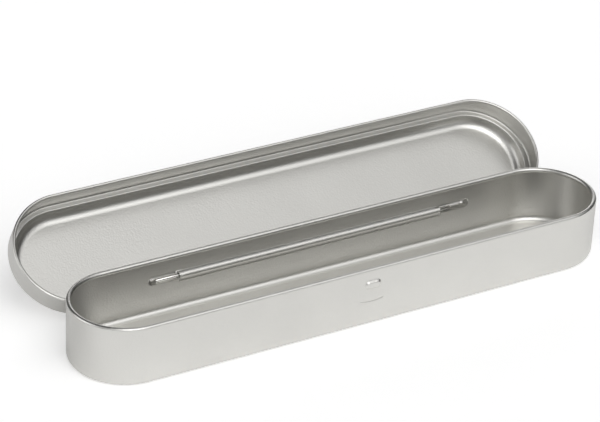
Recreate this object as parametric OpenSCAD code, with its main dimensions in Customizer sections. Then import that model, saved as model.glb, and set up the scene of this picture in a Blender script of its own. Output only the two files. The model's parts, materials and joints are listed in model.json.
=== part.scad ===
// Hinged pencil tin with round ends, shown open: a drawn tray, a stepped lid and a hinge wire.
// X runs along the tin, -Y is the front, +Y is the hinge side, and Z is up.
// The origin is the centre of the ring that the tray stands on.

/* [Tray] */
// Length of the tray over its round ends
tray_l = 195; // [170:1:230]
// Width of the tray, which is also the diameter of its round ends
tray_w = 37; // [32:0.5:50]
// Height of the tray to the top of its rim
tray_h = 21.4; // [19.6:0.2:30]
// Sheet thickness of the tray
tray_t = 0.35; // [0.25:0.05:0.45]
// Outer radius between the wall and the bottom
foot_r = 2.4; // [1.2:0.1:3]
// Width of the flat ring that the tray stands on
foot_ring_w = 0.8; // [0.5:0.1:2]
// Rise of the bottom panel above the standing ring
panel_rise = 0.8; // [0.5:0.1:1.5]
// Diameter of the tray's inward curled rim
tray_rim_d = 1.7; // [1.4:0.1:2.2]

/* [Lid] */
// Sheet thickness of the lid
lid_t = 0.25; // [0.2:0.05:0.4]
// Gap between the lid's curled rim and the tray's wall
lid_clear = 1; // [1:0.05:1.2]
// Diameter of the lid's inward curled rim
lid_rim_d = 1.15; // [1.1:0.05:1.5]
// Depth of the skirt, from the ledge down to the lid's rim
skirt_h = 7.8; // [7:0.1:8.4]
// Width of the ledge between the skirt and the raised top
ledge_w = 2.1; // [1.8:0.1:3.5]
// Height of the raised top above the ledge
crown_h = 3.9; // [3.7:0.1:7]
// Outer radius around the raised top
crown_r = 3.7; // [2:0.1:3.7]
// Outer radius between the skirt and the ledge
shoulder_r = 0.8; // [0.5:0.1:1.4]
// Gap between the ledge's inner corner and the tray's curled rim when the lid is shut
seat_gap = 0.1; // [0.1:0.05:0.5]
// Angle that the lid stands open, from shut
open_angle = 148; // [90:1:150]

/* [Hinge] */
// Diameter of the hinge wire
wire_d = 1.3; // [1.1:0.1:1.6]
// Length of wire that stands out of the lid's rolled tab, on each side
wire_end = 6.5; // [5:0.5:9]
// Place of the wire's middle along the tin
wire_shift = -2; // [-2:0.5:2]
// Radial gap between the wire and the lid's rolled tab
run_clear = 0.05; // [0.02:0.01:0.1]
// Turns of sheet in the roll
tab_turns = 3; // [2:1:3]
// Radius of the grooves in the tray, which are taller than the wire that lies in them
groove_r = 1.55; // [1.3:0.05:1.8]
// Gap between the wire and the floor of the grooves
wire_seat = 0.05; // [0.02:0.01:0.1]
// Distance from the tray's rim down to the wire's axis
hinge_drop = 9.5; // [9:0.1:9.8]
// Length of the lid's rolled tab
tab_l = 100; // [80:1:102]
// Length of each groove beyond the end of the centred wire
end_play = 4.6; // [3.4:0.1:7]
// Gap between the tab and the window around it
window_clear = 0.3; // [0.25:0.05:0.5]
// Gap between the open lid's tab and the window's lower edge, which stops it
stop_gap = 0.1; // [0.05:0.05:0.3]
// Gap between the grooves and the cut in the lid's rear rim
relief_clear = 1.4; // [0.5:0.1:3]

/* [Catch] */
// Length of the bump that the lid's front rim snaps over
catch_l = 6.4; // [5:0.1:10]
// Height of the bump up the wall
catch_h = 3.3; // [2.4:0.1:4]
// Distance that the bump stands out of the wall
catch_out = 0.7; // [0.3:0.05:0.75]
// Distance from the tray's rim down to the bump's middle
catch_drop = 5.8; // [5:0.1:6.2]
// Length of the thumb line pressed into the wall below the bump
thumb_l = 9.7; // [6:0.1:14]
// Distance from the tray's rim down to the thumb line's middle
thumb_drop = 12; // [10:0.1:14]
// Radius of the thumb line's curve
thumb_r = 18; // [12:1:40]
// Depth of the thumb line
thumb_depth = 0.12; // [0.05:0.01:0.15]
// Place of the bump and the thumb line along the front
catch_shift = 1.2; // [-3:0.1:3]

/* [Hidden] */
$fn = 96;

// A little extra length, so that cuts run clear of the faces they open
cut = 1;
// Length of the straight sides, the same for the tray and the lid
side_l = tray_l - tray_w;
// Radii of the round ends
tray_r = tray_w / 2;
lid_r = tray_r + lid_clear + lid_rim_d;
// Heights with the lid shut, when the ledge's inner corner sits on the curve of the tray's rim
tray_curl_r = tray_rim_d / 2;
corner_out = lid_r - ledge_w - lid_t - (tray_r - tray_curl_r);
curl_rise = sqrt(pow(tray_curl_r, 2) - pow(max(0, min(corner_out, tray_curl_r)), 2));
ledge_z = tray_h - tray_curl_r + curl_rise + seat_gap;
lid_rim_z = ledge_z - skirt_h;
lid_top_z = ledge_z + lid_t + crown_h;
// Gap between the edge of a curled rim and the wall it rolls back to
curl_gap = 0.3;
// Radius at the edge of the bottom panel, inside the sheet
panel_r = 0.45;
// Radius of the tool that presses the thumb line
thumb_tool_r = 0.3;
// Overlap that joins the hollow of the catch to the inside of the tray
skin_lap = 0.05;

// The rolled tab lies flush with the skirt, which sets the wire's distance from the middle
tab_r = wire_d / 2 + run_clear + tab_turns * lid_t;
hinge_y = lid_r - tab_r;
hinge_z = tray_h - hinge_drop;
// Window in the tray's rear wall, whose lower edge meets the tab when the lid stands open
window_l = tab_l + 2 * window_clear;
tab_drop = (tab_r - (tray_r - hinge_y) * cos(open_angle)) / sin(open_angle);
window_bottom = hinge_z - tab_drop - stop_gap;
// Grooves that hold the ends of the wire, whose floor carries it
groove_z = hinge_z - wire_d / 2 - wire_seat + groove_r;
// The window is as high as the grooves at its ends, and clears the tab
window_top = max(groove_z + groove_r, hinge_z + tab_r + window_clear);
wire_l = tab_l + 2 * wire_end;
groove_end = wire_l / 2 + end_play;
// Cut in the lid's rear skirt, clear of the grooves
relief_l = 2 * (groove_end + tray_t + relief_clear);
relief_z = lid_rim_z + lid_rim_d + lid_t;

// Region with one rounded outer top corner, from the middle out to w, between heights z0 and z1
module round_block(w, z0, z1, r) {
    translate([0, z0]) square([w - r, z1 - z0]);
    translate([0, z0]) square([w, z1 - z0 - r]);
    translate([w - r, z1 - r]) circle(r);
}

// Sheet rolled inward into a tube at the edge of a wall, open towards the wall
module curl(outer_r, wall_t, d, edge_z, up) {
    mid_z = edge_z - up * d / 2;
    difference() {
        translate([outer_r - d / 2, mid_z]) circle(d / 2);
        translate([outer_r - d / 2, mid_z]) circle(d / 2 - wall_t);
        translate([outer_r - wall_t - curl_gap, up > 0 ? mid_z - d : mid_z]) square([curl_gap, d]);
    }
}

// Half section of the tray, with the distance from the middle across and the height up
module tray_section() {
    ring_in = tray_r - foot_r - foot_ring_w;
    difference() {
        mirror([0, 1]) round_block(tray_r, -tray_h + tray_rim_d / 2, 0, foot_r);
        difference() {
            mirror([0, 1]) round_block(tray_r - tray_t, -tray_h - cut, -tray_t, foot_r - tray_t);
            round_block(ring_in + tray_t, -cut, panel_rise + tray_t, panel_r + tray_t);
        }
        round_block(ring_in, -cut, panel_rise, panel_r);
    }
    curl(tray_r, tray_t, tray_rim_d, tray_h, 1);
}

// Half section of the shut lid
module lid_section() {
    difference() {
        union() {
            round_block(lid_r, lid_rim_z + lid_rim_d / 2, ledge_z + lid_t, shoulder_r);
            round_block(lid_r - ledge_w, ledge_z, lid_top_z, crown_r);
        }
        round_block(lid_r - lid_t, lid_rim_z - cut, ledge_z, shoulder_r - lid_t);
        round_block(lid_r - ledge_w - lid_t, ledge_z - cut, lid_top_z - lid_t, crown_r - lid_t);
    }
    curl(lid_r, lid_t, lid_rim_d, lid_rim_z, -1);
}

// Carries a half section along both straight sides and round both ends
module drawn_shell() {
    rotate([90, 0, 90]) linear_extrude(side_l, center = true) {
        children();
        mirror([1, 0]) children();
    }
    for (turn = [0, 180])
        rotate([0, 0, turn]) translate([side_l / 2, 0, 0])
            rotate([0, 0, -90]) rotate_extrude(angle = 180) children();
}

// Round-ended channel for one end of the wire, reaching inward to the plane from_y
module groove_form(r, from_y) {
    round_x = groove_end - groove_r;
    start_x = tab_l / 2 - cut;
    depth = hinge_y - from_y;
    translate([start_x, hinge_y, groove_z]) rotate([0, 90, 0]) cylinder(h = round_x - start_x, r = r);
    translate([start_x, from_y, groove_z - r]) cube([round_x - start_x, depth, 2 * r]);
    translate([round_x, from_y, groove_z]) rotate([-90, 0, 0]) cylinder(h = depth, r = r);
    translate([round_x, hinge_y, groove_z]) sphere(r);
}

// Skin of the channel, which stands out of the wall's outer face
module groove_skin() {
    from_y = tray_r - tray_t / 2;
    r = groove_r + tray_t;
    intersection() {
        groove_form(r, from_y);
        translate([0, from_y, groove_z - 2 * r]) cube([2 * groove_end, 4 * r, 4 * r]);
    }
}

// Long rounded form whose outer cap stands out of the front wall as the catch
module catch_form(grow) {
    cap_r = (pow(catch_h / 2, 2) + pow(catch_out, 2)) / (2 * catch_out);
    half_l = (catch_l - catch_h) / 2;
    r = cap_r + grow;
    intersection() {
        translate([0, -tray_r - catch_out + cap_r, tray_h - catch_drop]) {
            translate([-half_l, 0, 0]) rotate([0, 90, 0]) cylinder(h = 2 * half_l, r = r);
            for (side = [-1, 1]) translate([side * half_l, 0, 0]) sphere(r);
        }
        slab_y = grow < 0 ? tray_t + skin_lap : tray_t / 2;
        translate([-catch_l, -tray_r - cut, tray_h - catch_drop - catch_h])
            cube([2 * catch_l, cut + slab_y, 2 * catch_h]);
    }
}

// Shallow curved line under the catch
module thumb_line() {
    half_angle = asin(thumb_l / 2 / thumb_r);
    translate([0, -tray_r - thumb_tool_r + thumb_depth, tray_h - thumb_drop + thumb_r])
        rotate([90, 0, 0]) rotate([0, 0, -90 - half_angle])
            rotate_extrude(angle = 2 * half_angle) translate([thumb_r, 0]) circle(thumb_tool_r, $fn = 32);
}

module tray() {
    color("silver") difference() {
        union() {
            drawn_shell() tray_section();
            for (side = [0, 1]) mirror([side, 0, 0]) groove_skin();
            translate([catch_shift, 0, 0]) catch_form(0);
        }
        for (side = [0, 1]) mirror([side, 0, 0]) groove_form(groove_r, tray_r - tray_t - cut);
        translate([catch_shift, 0, 0]) {
            catch_form(-tray_t);
            thumb_line();
        }
        translate([-window_l / 2, tray_r - tray_rim_d, window_bottom])
            cube([window_l, 4 * tab_r, window_top - window_bottom]);
    }
}

// Tab of the shut lid, which leaves the skirt and is rolled round the wire
module rolled_tab() {
    translate([-tab_l / 2, hinge_y, hinge_z]) rotate([90, 0, 90]) linear_extrude(tab_l) {
        difference() {
            circle(tab_r);
            circle(tab_r - tab_turns * lid_t);
        }
        translate([tab_r - lid_t, 0]) square([lid_t, relief_z - hinge_z + cut]);
    }
}

module shut_lid() {
    difference() {
        drawn_shell() lid_section();
        translate([-relief_l / 2, lid_r - lid_rim_d - lid_clear, lid_rim_z - cut])
            cube([relief_l, lid_rim_d + lid_clear + cut, relief_z - lid_rim_z + cut]);
    }
    rolled_tab();
}

module lid() {
    color("gainsboro")
        translate([0, hinge_y, hinge_z]) rotate([-open_angle, 0, 0])
            translate([0, -hinge_y, -hinge_z]) shut_lid();
}

module hinge_wire() {
    color("lightgray")
        translate([wire_shift - wire_l / 2, hinge_y, hinge_z])
            rotate([0, 90, 0]) cylinder(h = wire_l, d = wire_d);
}

tray();
lid();
hinge_wire();
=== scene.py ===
import json
import math

import bmesh
import bpy
import numpy as np
from mathutils import Matrix, Vector


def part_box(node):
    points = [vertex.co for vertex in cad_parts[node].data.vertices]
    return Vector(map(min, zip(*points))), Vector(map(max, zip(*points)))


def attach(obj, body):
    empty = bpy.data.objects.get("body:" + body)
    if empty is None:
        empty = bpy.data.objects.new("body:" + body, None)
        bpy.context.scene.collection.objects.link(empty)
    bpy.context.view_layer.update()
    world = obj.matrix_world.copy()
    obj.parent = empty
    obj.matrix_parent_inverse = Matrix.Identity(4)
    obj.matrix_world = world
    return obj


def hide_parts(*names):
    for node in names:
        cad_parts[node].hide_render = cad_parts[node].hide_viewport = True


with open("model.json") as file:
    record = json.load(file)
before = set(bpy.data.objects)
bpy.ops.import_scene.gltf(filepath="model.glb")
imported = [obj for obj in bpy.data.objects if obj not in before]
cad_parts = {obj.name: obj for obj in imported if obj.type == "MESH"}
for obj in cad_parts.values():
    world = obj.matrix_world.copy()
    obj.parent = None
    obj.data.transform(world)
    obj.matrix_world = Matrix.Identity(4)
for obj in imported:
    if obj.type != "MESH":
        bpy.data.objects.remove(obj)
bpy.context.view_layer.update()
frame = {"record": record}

# A drawn tinplate pencil tin with round ends, standing open. Lengths in the dictionaries are in mm.
mm = 0.001
samePlace = 0.001             # points closer than this are one point
nearWall = 0.01               # a point this close to the wall's outside belongs to it
longStep = 25                 # widest spacing of the mesh along the straight sides
lap = 2                       # how far a strip starts inside its panel's edge
hinge = frame["record"]["behaviour"]["joints"][0]
hingeY, hingeZ = hinge["pos_m"][1] / mm, hinge["pos_m"][2] / mm
openAngle = math.radians(hinge["range_deg"][1])
trayLow, trayHigh = [Vector(corner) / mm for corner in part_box("tray")]
wireLow, wireHigh = [Vector(corner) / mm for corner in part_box("hinge_wire")]
print("frame read")


# Node helper: adds a node, sets its properties and input values, and links what is a socket
def addNode(tree, kind, inputs=None, **settings):
    node = tree.nodes.new(kind)
    for key, value in settings.items():
        setattr(node, key, value)
    for key, value in (inputs or {}).items():
        if isinstance(value, bpy.types.NodeSocket):
            tree.links.new(value, node.inputs[key])
        else:
            node.inputs[key].default_value = value
    return node


def toLinear(hexColour):
    channels = [int(hexColour[i:i + 2], 16) / 255 for i in (1, 3, 5)]
    return [c / 12.92 if c <= 0.04045 else ((c + 0.055) / 1.055) ** 2.4 for c in channels] + [1.0]


# Tinplate: thin rolled steel with a dull tin coat. Metallic and satin, with a fine matt grain
# that scatters highlights, and faint cloudy patches where the coat is a little thicker.
tinplate = {
    "colour": "#dad9d5",
    "roughness": 0.34,
    "roughnessSpread": 0.05,
    "grainWidth": 0.7,    # drawn coarser than the real grain, so that it shows in the picture
    "grainDepth": 0.06,
    "cloudWidth": 22.0,
    "cloudDarkening": 0.04,
}


def tinplateFinish(name, recipe):
    material = bpy.data.materials.new(name)
    material.use_nodes = True
    tree = material.node_tree
    tree.nodes.clear()
    place = addNode(tree, "ShaderNodeTexCoord").outputs["Object"]
    grain = addNode(tree, "ShaderNodeTexNoise", {
        "Vector": place, "Scale": 1 / (recipe["grainWidth"] * mm), "Detail": 2.0, "Roughness": 0.6})
    clouds = addNode(tree, "ShaderNodeTexNoise", {
        "Vector": place, "Scale": 1 / (recipe["cloudWidth"] * mm), "Detail": 3.0, "Roughness": 0.5})
    tone = addNode(tree, "ShaderNodeMapRange", {
        "Value": clouds.outputs["Fac"], "From Min": 0.3, "From Max": 0.7,
        "To Min": 1 - recipe["cloudDarkening"], "To Max": 1.0})
    colour = addNode(tree, "ShaderNodeMix", {
        "Factor": 1.0, "A": toLinear(recipe["colour"]), "B": tone.outputs["Result"]},
        data_type="RGBA", blend_type="MULTIPLY")
    tooth = addNode(tree, "ShaderNodeMapRange", {
        "Value": grain.outputs["Fac"], "From Min": 0.3, "From Max": 0.7,
        "To Min": recipe["roughness"] - recipe["roughnessSpread"],
        "To Max": recipe["roughness"] + recipe["roughnessSpread"]})
    relief = addNode(tree, "ShaderNodeBump", {
        "Strength": 1.0, "Distance": recipe["grainDepth"] * mm, "Height": grain.outputs["Fac"]})
    surface = addNode(tree, "ShaderNodeBsdfPrincipled", {
        "Base Color": colour.outputs["Result"], "Metallic": 1.0,
        "Roughness": tooth.outputs["Result"], "Normal": relief.outputs["Normal"]})
    addNode(tree, "ShaderNodeOutputMaterial", {"Surface": surface.outputs["BSDF"]})
    return material


# Bright drawn steel wire: smoother than the sheet, with fine lines that the die leaves along it
wireSteel = {
    "colour": "#e4e3e0",
    "roughness": 0.2,
    "lineWidth": 0.12,
    "lineDepth": 0.004,
}


def wireFinish(name, recipe):
    material = bpy.data.materials.new(name)
    material.use_nodes = True
    tree = material.node_tree
    tree.nodes.clear()
    place = addNode(tree, "ShaderNodeTexCoord").outputs["Object"]
    along = addNode(tree, "ShaderNodeMapping", {"Vector": place, "Scale": (0.01, 1.0, 1.0)})
    lines = addNode(tree, "ShaderNodeTexNoise", {
        "Vector": along.outputs["Vector"], "Scale": 1 / (recipe["lineWidth"] * mm), "Detail": 2.0})
    relief = addNode(tree, "ShaderNodeBump", {
        "Strength": 1.0, "Distance": recipe["lineDepth"] * mm, "Height": lines.outputs["Fac"]})
    tone = addNode(tree, "ShaderNodeMapRange", {
        "Value": lines.outputs["Fac"], "To Min": 0.85, "To Max": 1.0})
    colour = addNode(tree, "ShaderNodeMix", {
        "Factor": 1.0, "A": toLinear(recipe["colour"]), "B": tone.outputs["Result"]},
        data_type="RGBA", blend_type="MULTIPLY")
    surface = addNode(tree, "ShaderNodeBsdfPrincipled", {
        "Base Color": colour.outputs["Result"], "Metallic": 1.0,
        "Roughness": recipe["roughness"], "Normal": relief.outputs["Normal"]})
    addNode(tree, "ShaderNodeOutputMaterial", {"Surface": surface.outputs["BSDF"]})
    return material


trayTinplate = tinplateFinish("satinTinplateTray", tinplate)
lidTinplate = tinplateFinish("satinTinplateLid", tinplate)
brightWire = wireFinish("drawnSteelWire", wireSteel)
print("finishes made")


# Geometry Nodes tree that carries a bent strip of sheet along a path: the strip's points are
# (distance outwards, 0, height), and each path point holds a place and its outward direction.
def sweepTree():
    tree = bpy.data.node_groups.new("sweepSheet", "GeometryNodeTree")
    for socketName, kind in (("Strip", "NodeSocketGeometry"), ("Path", "NodeSocketObject"),
                             ("Weld", "NodeSocketFloat"), ("Finish", "NodeSocketMaterial")):
        tree.interface.new_socket(name=socketName, in_out="INPUT", socket_type=kind)
    tree.interface.new_socket(name="Sheet", in_out="OUTPUT", socket_type="NodeSocketGeometry")
    given = addNode(tree, "NodeGroupInput").outputs
    path = addNode(tree, "GeometryNodeObjectInfo", {"Object": given["Path"]}).outputs["Geometry"]
    stripCount = addNode(tree, "GeometryNodeAttributeDomainSize", {"Geometry": given["Strip"]})
    pathCount = addNode(tree, "GeometryNodeAttributeDomainSize", {"Geometry": path})
    grid = addNode(tree, "GeometryNodeMeshGrid", {
        "Vertices X": pathCount.outputs["Point Count"], "Vertices Y": stripCount.outputs["Point Count"]})
    index = addNode(tree, "GeometryNodeInputIndex").outputs["Index"]
    stripIndex = addNode(tree, "ShaderNodeMath", {
        0: index, 1: stripCount.outputs["Point Count"]}, operation="MODULO")
    rows = addNode(tree, "ShaderNodeMath", {
        0: index, 1: stripCount.outputs["Point Count"]}, operation="DIVIDE")
    pathIndex = addNode(tree, "ShaderNodeMath", {0: rows.outputs[0]}, operation="FLOOR")
    position = addNode(tree, "GeometryNodeInputPosition").outputs["Position"]
    outward = addNode(tree, "GeometryNodeInputNamedAttribute", {"Name": "outward"},
                      data_type="FLOAT_VECTOR").outputs["Attribute"]

    def sample(geometry, field, at):
        node = addNode(tree, "GeometryNodeSampleIndex", {"Geometry": geometry, "Index": at},
                       data_type="FLOAT_VECTOR", domain="POINT")
        tree.links.new(field, node.inputs["Value"])
        return node.outputs["Value"]

    stripPoint = addNode(tree, "ShaderNodeSeparateXYZ", {
        0: sample(given["Strip"], position, stripIndex.outputs[0])})
    height = addNode(tree, "ShaderNodeCombineXYZ", {"Z": stripPoint.outputs["Z"]})
    reach = addNode(tree, "ShaderNodeVectorMath", {
        0: sample(path, outward, pathIndex.outputs[0]), "Scale": stripPoint.outputs["X"]}, operation="SCALE")
    start = addNode(tree, "ShaderNodeVectorMath", {
        0: sample(path, position, pathIndex.outputs[0]), 1: reach.outputs[0]}, operation="ADD")
    place = addNode(tree, "ShaderNodeVectorMath", {0: start.outputs[0], 1: height.outputs[0]}, operation="ADD")
    moved = addNode(tree, "GeometryNodeSetPosition", {
        "Geometry": grid.outputs["Mesh"], "Position": place.outputs[0]})
    welded = addNode(tree, "GeometryNodeMergeByDistance", {
        "Geometry": moved.outputs["Geometry"], "Distance": given["Weld"]})
    real = addNode(tree, "GeometryNodeRealizeInstances", {"Geometry": welded.outputs["Geometry"]})
    finished = addNode(tree, "GeometryNodeSetMaterial", {
        "Geometry": real.outputs["Geometry"], "Material": given["Finish"]})
    addNode(tree, "NodeGroupOutput", {"Sheet": finished.outputs["Geometry"]})
    return tree


sweepSheet = sweepTree()


# A strip of sheet seen edge on, as points in mm. A run is (length, steps), a bend is
# (radius, degrees, degrees a step), and left bends are positive.
def bentStrip(x, z, heading, runsAndBends):
    angle = math.radians(heading)
    points = [(x, z)]
    for kind, *values in runsAndBends:
        if kind == "run":
            length, steps = values
            for step in range(steps):
                x += length / steps * math.cos(angle)
                z += length / steps * math.sin(angle)
                points.append((x, z))
            continue
        radius, degrees, degreesAStep = values
        side = 1 if degrees > 0 else -1
        centreX = x - side * radius * math.sin(angle)
        centreZ = z + side * radius * math.cos(angle)
        steps = max(1, math.ceil(abs(degrees) / degreesAStep))
        for step in range(steps):
            angle += math.radians(degrees) / steps
            x = centreX + side * radius * math.sin(angle)
            z = centreZ - side * radius * math.cos(angle)
            points.append((x, z))
    return points


# Closed path of the tin: stations along the front and rear sides, and steps round the ends
def stadiumPath(sideLength, frontStations, rearStations, endSteps):
    half = sideLength / 2
    path = [(x, 0, -1) for x in frontStations]
    path += [(half, math.sin(turn), -math.cos(turn))
             for turn in np.linspace(0, math.pi, endSteps + 1)[1:-1]]
    path += [(x, 0, 1) for x in reversed(rearStations)]
    path += [(-half, -math.sin(turn), math.cos(turn))
             for turn in np.linspace(0, math.pi, endSteps + 1)[1:-1]]
    return path + path[:1]


def meshObject(name, points, edges=(), faces=()):
    mesh = bpy.data.meshes.new(name)
    mesh.from_pydata([Vector(point) * mm for point in points], list(edges), list(faces))
    thing = bpy.data.objects.new(name, mesh)
    bpy.context.scene.collection.objects.link(thing)
    return thing


# The object's shape with its modifiers, as a plain mesh without them
def bake(thing):
    bpy.context.view_layer.update()
    shown = thing.evaluated_get(bpy.context.evaluated_depsgraph_get())
    baked = bpy.data.meshes.new_from_object(shown)
    thing.modifiers.clear()
    thing.data = baked
    return thing


def sweptSheet(name, strip, path, finish):
    track = meshObject(name + "Path", [(x, 0, 0) for x, outX, outY in path])
    outward = track.data.attributes.new("outward", "FLOAT_VECTOR", "POINT")
    for point, (x, outX, outY) in zip(outward.data, path):
        point.vector = (outX, outY, 0)
    sheet = meshObject(name, [(x, 0, z) for x, z in strip])
    sweep = sheet.modifiers.new("sweep", "NODES")
    sweep.node_group = sweepSheet
    sockets = {item.name: item.identifier for item in sweepSheet.interface.items_tree}
    sweep[sockets["Path"]] = track
    sweep[sockets["Weld"]] = samePlace * mm
    sweep[sockets["Finish"]] = finish
    bake(sheet)
    sheet.data.materials.clear()
    sheet.data.materials.append(finish)
    sheet.data.polygons.foreach_set("material_index", [0] * len(sheet.data.polygons))
    bpy.data.objects.remove(track)
    return sheet


# Turns a mesh inside out if the face furthest in the given direction looks the other way
def faceOutwards(shape, direction):
    tip = max(shape.faces, key=lambda face: face.calc_center_median().dot(direction))
    tip.normal_update()
    if tip.normal.dot(direction) < 0:
        bmesh.ops.reverse_faces(shape, faces=shape.faces)


# Fills the flat panel inside the strip's first row
def fillPanel(shape, height):
    rim = [edge for edge in shape.edges if edge.is_boundary
           and all(abs(vert.co.z / mm - height) < samePlace for vert in edge.verts)]
    bmesh.ops.edgeloop_fill(shape, edges=rim)
    bmesh.ops.recalc_face_normals(shape, faces=shape.faces)


# Smooth shading that stops at edges sharper than the given angle
def shadeSmooth(thing, sharpAngle):
    for face in thing.data.polygons:
        face.use_smooth = True
    thing.data.set_sharp_from_angle(angle=math.radians(sharpAngle))


# Thickens the outer skin inwards to the sheet's gauge
def giveThickness(thing, sheet):
    solid = thing.modifiers.new("sheet", "SOLIDIFY")
    solid.thickness = sheet * mm
    solid.offset = -1
    solid.use_even_offset = True
    bake(thing)
    shadeSmooth(thing, 50)
    level = thing.modifiers.new("level", "WEIGHTED_NORMAL")
    level.keep_sharp = True
    bake(thing)


def smoothStep(value, low, high):
    share = np.clip((value - low) / (high - low), 0, 1)
    return share * share * (3 - 2 * share)


tray = {
    "endRadius": 18.5,
    "sheet": 0.35,
    "footRadius": 2.4,
    "standingRing": 0.8,
    "panelRise": 0.8,
    "panelStepRadius": 0.45,  # both bends of the step up to the panel, and the angle that they turn
    "panelStepTurn": 75,
    "rimRadius": 0.85,
    "rimTurn": 283,
    "endSteps": 44,
    "pressStep": 0.16,        # spacing of the mesh where forms are pressed into the wall
    "pressedFrom": 8.7,       # heights between which the wall is finely divided
    "pressedTo": 18.4,
    "pressMargin": 1.0,       # how far the fine mesh reaches past a pressed form
    "plainStep": 6,           # spacing of the mesh on the rear wall beyond the grooves
    "grooveRadius": 1.55,
    "grooveFloorBelowWire": 0.05,
    "grooveEnd": 61.1,
    "grooveLip": 0.12,
    "grooveRamp": 1.3,        # length over which the groove fades out beside the window
    "grooveRampEnd": 0.1,     # where the fade ends, inside the window's end
    "windowLength": 100.6,
    "windowBottom": 10.184,
    "catchPlace": 1.2,
    "catchLength": 6.4,
    "catchHeight": 3.3,
    "catchOut": 0.7,
    "catchDrop": 5.8,
    "catchCrown": 0.45,       # share of its half height where the catch's rounded top starts to fall
    "thumbLength": 9.7,
    "thumbDrop": 12.0,
    "thumbRadius": 18.0,
    "thumbDepth": 0.14,
    "thumbWidth": 0.2,
    "thumbFade": 0.8,         # length over which the line fades out at its ends
}
sideLength = trayHigh.x - trayLow.x - 2 * tray["endRadius"]
trayHeight = trayHigh.z


def evenly(low, high, step):
    count = max(1, math.ceil((high - low) / step))
    return list(np.linspace(low, high, count + 1))


def traySheet():
    size = tray
    foot, rim = size["footRadius"], size["rimRadius"]
    stepBend, stepTurn = size["panelStepRadius"], size["panelStepTurn"]
    tilt = math.radians(stepTurn)
    rise = size["panelRise"]
    slope = (rise - 2 * stepBend * (1 - math.cos(tilt))) / math.sin(tilt)
    ringIn = size["endRadius"] - foot - size["standingRing"]
    stepWidth = 2 * stepBend * math.sin(tilt) + slope * math.cos(tilt)
    panelEdge = ringIn - stepWidth / 2
    ringLeft = size["endRadius"] - foot - panelEdge - stepWidth
    low, high = size["pressedFrom"], size["pressedTo"]
    strip = bentStrip(panelEdge - lap, rise, 0, [
        ("run", lap, 1),
        ("bend", stepBend, -stepTurn, 12),
        ("run", slope, 1),
        ("bend", stepBend, stepTurn, 12),
        ("run", ringLeft, 1),
        ("bend", foot, 90, 8),
        ("run", low - foot, 5),
        ("run", high - low, round((high - low) / size["pressStep"])),
        ("run", trayHeight - rim - high, 2),
        ("bend", rim, size["rimTurn"], 12),
    ])
    step = size["pressStep"]
    half, window = sideLength / 2, size["windowLength"] / 2
    press = size["catchPlace"]
    reach = size["thumbLength"] / 2 + size["pressMargin"]
    front = evenly(-half, press - reach, longStep) + evenly(press - reach, press + reach, step)[1:]
    front += evenly(press + reach, half, longStep)[1:]
    grooveOut = size["grooveEnd"] + size["sheet"] + size["pressMargin"]
    ramp = size["grooveRamp"]
    side = evenly(window - ramp - step, window, step) + evenly(window, grooveOut, step)[1:]
    side += evenly(grooveOut, half, size["plainStep"])[1:]
    rear = [-x for x in reversed(side)] + [-window / 3, window / 3] + side
    return sweptSheet("trayTinplate", strip, stadiumPath(sideLength, front, rear, size["endSteps"]), trayTinplate)


# Presses the catch, the thumb line and the wire's grooves into the wall
def pressForms(places):
    size = tray
    x, y, z = places.T
    front = (y < -size["endRadius"] + nearWall) & (z < trayHeight - size["rimRadius"])
    rear = (y > size["endRadius"] - nearWall) & (z < trayHeight - size["rimRadius"])
    catchHalf = size["catchHeight"] / 2
    along = np.abs(x - size["catchPlace"]) - (size["catchLength"] / 2 - catchHalf)
    away = np.hypot(np.maximum(along, 0), z - (trayHeight - size["catchDrop"]))
    bump = size["catchOut"] * (1 - smoothStep(away, size["catchCrown"] * catchHalf, catchHalf))
    arcZ = trayHeight - size["thumbDrop"] + size["thumbRadius"]
    offLine = np.hypot(x - size["catchPlace"], z - arcZ) - size["thumbRadius"]
    thumbHalf = size["thumbLength"] / 2
    fade = 1 - smoothStep(np.abs(x - size["catchPlace"]), thumbHalf - size["thumbFade"], thumbHalf)
    line = size["thumbDepth"] * np.exp(-(offLine / size["thumbWidth"]) ** 2) * fade * (z < trayHeight / 2)
    wireRadius = (wireHigh.z - wireLow.z) / 2
    outer = size["grooveRadius"] + size["sheet"]
    grooveZ = hingeZ - wireRadius - size["grooveFloorBelowWire"] + size["grooveRadius"]
    beyond = np.maximum(np.abs(x) - (size["grooveEnd"] - size["grooveRadius"]), 0)
    inside = outer - np.hypot(beyond, z - grooveZ)
    lip = size["grooveLip"]
    lipShare = np.clip(inside + lip, 0, lip)
    lipDepth = lip - np.sqrt(lip ** 2 - lipShare ** 2)
    bowl = np.sqrt(np.maximum(outer ** 2 - np.clip(outer - inside, 0, outer) ** 2, 0))
    depth = np.where(inside > 0, hingeY - size["endRadius"] + bowl, lipDepth)
    windowEnd = size["windowLength"] / 2
    depth *= smoothStep(np.abs(x), windowEnd - size["grooveRamp"], windowEnd - size["grooveRampEnd"])
    moved = places.copy()
    moved[:, 1] += np.where(front, line - bump, 0) + np.where(rear, depth, 0)
    return moved, grooveZ + size["grooveRadius"]


def makeTray():
    thing = traySheet()
    shape = bmesh.new()
    shape.from_mesh(thing.data)
    fillPanel(shape, tray["panelRise"])
    faceOutwards(shape, Vector((1, 0, 0)))
    shape.verts.ensure_lookup_table()
    places = np.array([vert.co[:] for vert in shape.verts]) / mm
    moved, windowTop = pressForms(places)
    for vert, place in zip(shape.verts, moved):
        vert.co = Vector(place) * mm
    half = tray["windowLength"] / 2
    low, high = tray["windowBottom"], windowTop
    hole = [face for face in shape.faces
            if face.calc_center_median().y / mm > tray["endRadius"] - nearWall
            and abs(face.calc_center_median().x) / mm < half
            and low < face.calc_center_median().z / mm < high]
    bmesh.ops.delete(shape, geom=hole, context="FACES")
    shape.to_mesh(thing.data)
    shape.free()
    giveThickness(thing, tray["sheet"])
    return thing


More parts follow.
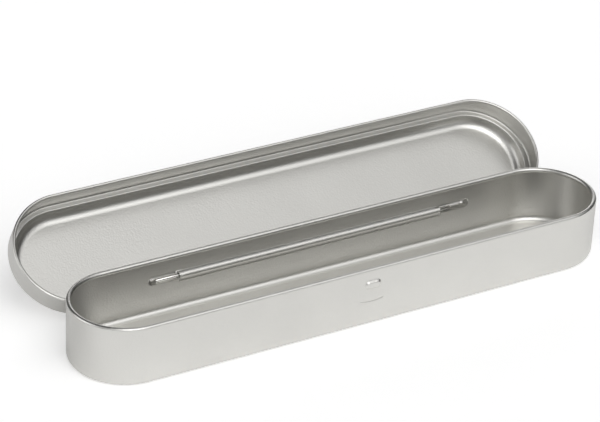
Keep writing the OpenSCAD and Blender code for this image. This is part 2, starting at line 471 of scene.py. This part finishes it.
trayPiece = makeTray()
print("tray made", len(trayPiece.data.polygons), "faces")

lid = {
    "endRadius": 20.65,
    "sheet": 0.25,
    "rimRadius": 0.575,
    "rimTurn": 272,
    "rimHeight": 13.398,      # heights with the lid shut
    "topHeight": 25.348,
    "ledgeHeight": 21.448,
    "ledgeWidth": 2.1,
    "crownRadius": 3.7,
    "shoulderRadius": 0.8,
    "endSteps": 56,
    "reliefLength": 125.7,
    "reliefHeight": 14.798,
    "tabLength": 100.0,
    "tabRadius": 1.45,
    "tabTurns": 2.0,
    "tabSteps": 72,
    "rollGap": 0.01,          # between one turn of the roll and the next
}


# Tab that leaves the skirt and is rolled up round the wire, as a spiral
def tabStrip():
    size = lid
    strip = bentStrip(size["endRadius"], size["reliefHeight"], -90,
                      [("run", size["reliefHeight"] - hingeZ, 3)])
    turns = np.linspace(0, size["tabTurns"] * 2 * math.pi, size["tabSteps"] + 1)[1:]
    radii = size["tabRadius"] - turns / (2 * math.pi) * (size["sheet"] + size["rollGap"])
    strip += [(hingeY + r * math.cos(t), hingeZ - r * math.sin(t)) for r, t in zip(radii, turns)]
    return strip


def makeLid():
    size = lid
    outer, crown, shoulder = size["endRadius"], size["crownRadius"], size["shoulderRadius"]
    corner = size["topHeight"] - size["ledgeHeight"] - crown
    rim = size["rimRadius"]
    strip = bentStrip(outer - size["ledgeWidth"] - crown - lap, size["topHeight"], 0, [
        ("run", lap, 1),
        ("bend", crown, -90, 6),
        ("bend", corner, 90, 15),
        ("run", size["ledgeWidth"] - corner - shoulder, 2),
        ("bend", shoulder, -90, 10),
        ("run", size["ledgeHeight"] - shoulder - size["reliefHeight"], 4),
        ("run", size["reliefHeight"] - size["rimHeight"] - rim, 1),
        ("bend", rim, -size["rimTurn"], 15),
    ])
    half, relief, tab = sideLength / 2, size["reliefLength"] / 2, size["tabLength"] / 2
    front = evenly(-half, half, longStep)
    tabStations = evenly(-tab, tab, longStep)
    rear = [-half, -relief] + tabStations + [relief, half]
    thing = sweptSheet("lidTinplate", strip, stadiumPath(sideLength, front, rear, size["endSteps"]), lidTinplate)
    tabThing = sweptSheet("lidTab", tabStrip(), [(x, 0, 1) for x in reversed(tabStations)], lidTinplate)
    shape = bmesh.new()
    shape.from_mesh(thing.data)
    fillPanel(shape, size["topHeight"])
    cutAway = [face for face in shape.faces
               if face.calc_center_median().y > 0
               and abs(face.calc_center_median().x) / mm < relief
               and face.calc_center_median().z / mm < size["reliefHeight"]]
    bmesh.ops.delete(shape, geom=cutAway, context="FACES")
    shape.from_mesh(tabThing.data)
    bmesh.ops.remove_doubles(shape, verts=shape.verts, dist=samePlace * mm)
    bmesh.ops.recalc_face_normals(shape, faces=shape.faces)
    faceOutwards(shape, Vector((1, 0, 0)))
    axis = Vector((0, hingeY, hingeZ)) * mm
    bmesh.ops.rotate(shape, cent=axis, matrix=Matrix.Rotation(-openAngle, 3, "X"), verts=shape.verts)
    shape.to_mesh(thing.data)
    shape.free()
    bpy.data.objects.remove(tabThing)
    giveThickness(thing, size["sheet"])
    return thing


lidPiece = makeLid()
print("lid made", len(lidPiece.data.polygons), "faces")

wire = {
    "chamfer": 0.18,
    "around": 32,
    "step": 8,
    # the ground end: distance in from the end and distance in from the side, in chamfers
    "endShape": ((0, 1.6), (0.3, 0.6), (1, 0)),
}


# Cut wire with its ends ground off
def makeWire():
    radius = (wireHigh.z - wireLow.z) / 2
    chamfer = wire["chamfer"]
    profile = [(wireLow.x + along * chamfer, radius - inward * chamfer) for along, inward in wire["endShape"]]
    stations = evenly(wireLow.x + chamfer, wireHigh.x - chamfer, wire["step"])
    profile += [(x, radius) for x in stations[1:-1]]
    profile += [(wireHigh.x - along * chamfer, radius - inward * chamfer)
                for along, inward in reversed(wire["endShape"])]
    around = wire["around"]
    points = [(x, hingeY + r * math.cos(turn), hingeZ + r * math.sin(turn))
              for x, r in profile for turn in np.linspace(0, 2 * math.pi, around + 1)[:-1]]
    faces = [(ring * around + k, (ring + 1) * around + k,
              (ring + 1) * around + (k + 1) % around, ring * around + (k + 1) % around)
             for ring in range(len(profile) - 1) for k in range(around)]
    faces += [tuple(reversed(range(around))), tuple(range((len(profile) - 1) * around, len(profile) * around))]
    thing = meshObject("hingeWire", points, faces=faces)
    shape = bmesh.new()
    shape.from_mesh(thing.data)
    bmesh.ops.recalc_face_normals(shape, faces=shape.faces)
    shape.to_mesh(thing.data)
    shape.free()
    thing.data.materials.append(brightWire)
    shadeSmooth(thing, 60)
    return thing


wirePiece = makeWire()
print("wire made")

for piece, body, node, slotName in ((trayPiece, "tray", "tray", "tray_tinplate"),
                                    (lidPiece, "lid", "lid", "lid_tinplate"),
                                    (wirePiece, "lid", "hinge_wire", "wire_steel")):
    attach(piece, body)
    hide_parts(node)

# Studio: a white floor and soft light panels in the surround
studio = {
    "floorColour": "#f7f7f7",
    "floorReach": 4000,       # from the tin to the floor's edge
    "floorSeen": 0.36,        # how much paler the floor looks to the camera than it is lit
    "floorFront": 0.33,       # the same for the floor mirrored in the metal, in front of the tin
    "floorRear": 0.05,        # and behind it
    "floorFade": (-30, 20),   # from where to where the one turns into the other, in mm
    # soft light panels: compass angle from the rear towards the right, height angle,
    # angles at which a panel starts to fade and has faded, and brightness
    "panels": (
        (-180, 62, 8, 30, 0.6),
        (-150, 28, 15, 50, 0.6),
        (30, 10, 8, 30, 1.5),
        (-70, 25, 8, 35, 1.5),
        (-172, 45, 8, 30, 1.75),
        (150, 32, 8, 25, 0.9),
        (110, 64, 12, 36, 0.83),
    ),
}


def floorFinish():
    material = bpy.data.materials.new("whitePaperFloor")
    material.use_nodes = True
    surface = material.node_tree.nodes["Principled BSDF"]
    surface.inputs["Base Color"].default_value = toLinear(studio["floorColour"])
    surface.inputs["Roughness"].default_value = 0.9
    surface.inputs["Specular IOR Level"].default_value = 0.0
    tree = material.node_tree
    rays = addNode(tree, "ShaderNodeLightPath").outputs
    place = addNode(tree, "ShaderNodeTexCoord").outputs["Object"]
    depth = addNode(tree, "ShaderNodeSeparateXYZ", {"Vector": place}).outputs["Y"]
    fadeFrom, fadeTo = studio["floorFade"]
    mirrored = addNode(tree, "ShaderNodeMapRange", {
        "Value": depth, "From Min": fadeFrom * mm, "From Max": fadeTo * mm,
        "To Min": studio["floorFront"], "To Max": studio["floorRear"]}, interpolation_type="SMOOTHSTEP")
    inMetal = addNode(tree, "ShaderNodeMath", {
        0: rays["Is Glossy Ray"], 1: mirrored.outputs["Result"]}, operation="MULTIPLY")
    glow = addNode(tree, "ShaderNodeMath", {
        0: rays["Is Camera Ray"], 1: studio["floorSeen"], 2: inMetal.outputs[0]}, operation="MULTIPLY_ADD")
    surface.inputs["Emission Color"].default_value = (1, 1, 1, 1)
    tree.links.new(glow.outputs[0], surface.inputs["Emission Strength"])
    return material


far = studio["floorReach"]
floor = meshObject("floor", [(-far, -far, 0), (far, -far, 0), (far, far, 0), (-far, far, 0)], faces=[(0, 1, 2, 3)])
floor.data.materials.append(floorFinish())


# Dark surround with soft light panels in it, plain white where the camera looks past the floor
def makeSurround():
    world = bpy.data.worlds.new("studioSurround")
    bpy.context.scene.world = world
    world.use_nodes = True
    tree = world.node_tree
    tree.nodes.clear()
    direction = addNode(tree, "ShaderNodeTexCoord").outputs["Generated"]
    brightness = 0.0
    for compass, height, inner, outer, strength in studio["panels"]:
        compass, height, inner, outer = [math.radians(angle) for angle in (compass, height, inner, outer)]
        middle = (math.sin(compass) * math.cos(height), math.cos(compass) * math.cos(height), math.sin(height))
        closeness = addNode(tree, "ShaderNodeVectorMath", {0: direction, 1: middle}, operation="DOT_PRODUCT")
        panel = addNode(tree, "ShaderNodeMapRange", {
            "Value": closeness.outputs["Value"], "From Min": math.cos(outer), "From Max": math.cos(inner),
            "To Min": 0.0, "To Max": strength}, interpolation_type="SMOOTHSTEP")
        brightness = addNode(tree, "ShaderNodeMath", {
            0: brightness, 1: panel.outputs["Result"]}, operation="ADD").outputs[0]
    cameraRay = addNode(tree, "ShaderNodeLightPath").outputs["Is Camera Ray"]
    strength = addNode(tree, "ShaderNodeMix", {0: cameraRay, 2: brightness, 3: 1.0}, data_type="FLOAT")
    surround = addNode(tree, "ShaderNodeBackground", {"Color": (1, 1, 1, 1), "Strength": strength.outputs[0]})
    addNode(tree, "ShaderNodeOutputWorld", {"Surface": surround.outputs["Background"]})


makeSurround()
print("studio made")

# Camera, matched to the tin's outlines
view = {
    "azimuth": -30.8949,
    "elevation": 29.5369,
    "roll": 2.684,
    "distance": 919.7679,
    "target": (8.4686, 41.7683, 10.0),
    "focalPixels": 2689.2329,
    "imageWidth": 600,
    "sensorWidth": 36.0,
}


def makeCamera():
    azimuth, elevation, roll = [math.radians(view[key]) for key in ("azimuth", "elevation", "roll")]
    forward = Vector((-math.sin(azimuth) * math.cos(elevation),
                      math.cos(azimuth) * math.cos(elevation), -math.sin(elevation)))
    right = Vector((math.cos(azimuth), math.sin(azimuth), 0))
    up = right.cross(forward)
    across = math.cos(roll) * right + math.sin(roll) * up
    upright = math.cos(roll) * up - math.sin(roll) * right
    turn = Matrix((across, upright, -forward)).transposed()
    lens = bpy.data.cameras.new("camera")
    lens.sensor_width = view["sensorWidth"]
    lens.lens = view["sensorWidth"] * view["focalPixels"] / view["imageWidth"]
    lens.clip_end = 20
    camera = bpy.data.objects.new("camera", lens)
    bpy.context.scene.collection.objects.link(camera)
    place = (Vector(view["target"]) - view["distance"] * forward) * mm
    camera.matrix_world = Matrix.Translation(place) @ turn.to_4x4()
    bpy.context.scene.camera = camera


makeCamera()
bpy.context.scene.view_settings.view_transform = "Standard"
print("camera placed")
